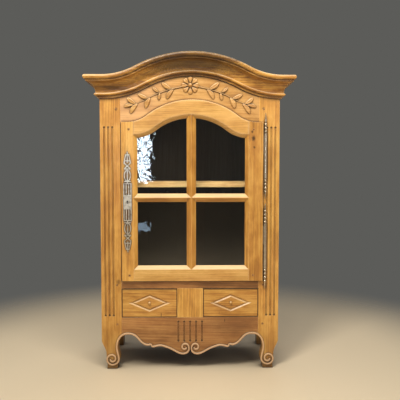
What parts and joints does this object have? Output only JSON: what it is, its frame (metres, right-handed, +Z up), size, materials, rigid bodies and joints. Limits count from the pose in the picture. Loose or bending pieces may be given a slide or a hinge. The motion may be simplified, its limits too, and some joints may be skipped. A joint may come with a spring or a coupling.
{
  "type": "glazed bonnetiere cabinet",
  "caption": "Small country wardrobe-style cabinet with an arched cornice, one glazed arched door, two drawers and a scalloped apron on scroll feet.",
  "frame": {"origin": "middle of the footprint, cornice included, at floor level", "axes": "+Z up, the front faces -Y, +X to the right of someone who looks at the front"},
  "size_m": [0.74, 0.35, 1.1299],
  "materials": {
    "case_wood": "waxed honey-brown hardwood with visible grain",
    "frieze_wood": "waxed honey-brown hardwood, slightly paler",
    "dark_wood": "waxed darker brown hardwood",
    "drawer_wood": "waxed golden hardwood",
    "inner_wood": "plain unwaxed inner boards",
    "peg_wood": "end grain of dark pegs",
    "glass": "clear window glass",
    "steel": "polished steel with wear"
  },
  "bodies": {
    "case": {"apron": "dark_wood", "back_boards": "inner_wood", "back_bottom_rail": "inner_wood", "back_top_rail": "inner_wood", "board_cleats": "inner_wood", "cornice_front": "case_wood", "cornice_return_left": "case_wood", "cornice_return_right": "case_wood", "cupboard_floor": "inner_wood", "drawer_divider": "drawer_wood", "drawer_runners": "inner_wood", "frame_pegs": "peg_wood", "frieze_rail": "frieze_wood", "front_post_left": "case_wood", "front_post_right": "case_wood", "hinge_pins": "steel", "lock_keeper": "steel", "lower_hinge_post_half": "steel", "middle_rail": "dark_wood", "rear_post_left": "case_wood", "rear_post_right": "case_wood", "shelf": "case_wood", "side_bottom_rail_left": "case_wood", "side_bottom_rail_right": "case_wood", "side_panel_left": "case_wood", "side_panel_right": "case_wood", "side_top_rail_left": "case_wood", "side_top_rail_right": "case_wood", "top_board": "case_wood", "upper_hinge_post_half": "steel"},
    "door": {"door_bottom_rail": "case_wood", "door_hinge_stile": "case_wood", "door_left_muntin": "case_wood", "door_lock_stile": "case_wood", "door_pegs": "peg_wood", "door_right_muntin": "case_wood", "door_top_rail": "case_wood", "door_upright_muntin": "case_wood", "escutcheon_plate": "steel", "glass_lower_left": "glass", "glass_lower_right": "glass", "glass_upper_left": "glass", "glass_upper_right": "glass", "glazing_beads": "case_wood", "lock_case": "steel", "lower_hinge_door_half": "steel", "plate_nails": "steel", "upper_hinge_door_half": "steel"},
    "bolt": {"lock_bolt": "steel"},
    "drawer_left": {"drawer_left_back": "inner_wood", "drawer_left_bottom": "inner_wood", "drawer_left_front": "drawer_wood", "drawer_left_knob": "drawer_wood", "drawer_left_sides": "inner_wood"},
    "drawer_right": {"drawer_right_back": "inner_wood", "drawer_right_bottom": "inner_wood", "drawer_right_front": "drawer_wood", "drawer_right_knob": "drawer_wood", "drawer_right_sides": "inner_wood"}
  },
  "joints": [
    {"name": "door_hinge", "type": "hinge", "parent": "case", "child": "door", "pos_m": [0.2695, -0.1312, 0.609], "axis": [0, 0, 1], "range_deg": [0, 165]},
    {"name": "lock_bolt_slide", "type": "slide", "parent": "door", "child": "bolt", "axis": [-1, 0, 0], "range_m": [0, 0.012]},
    {"name": "drawer_left_slide", "type": "slide", "parent": "case", "child": "drawer_left", "axis": [0, -1, 0], "range_m": [0, 0.17]},
    {"name": "drawer_right_slide", "type": "slide", "parent": "case", "child": "drawer_right", "axis": [0, -1, 0], "range_m": [0, 0.17]}
  ]
}
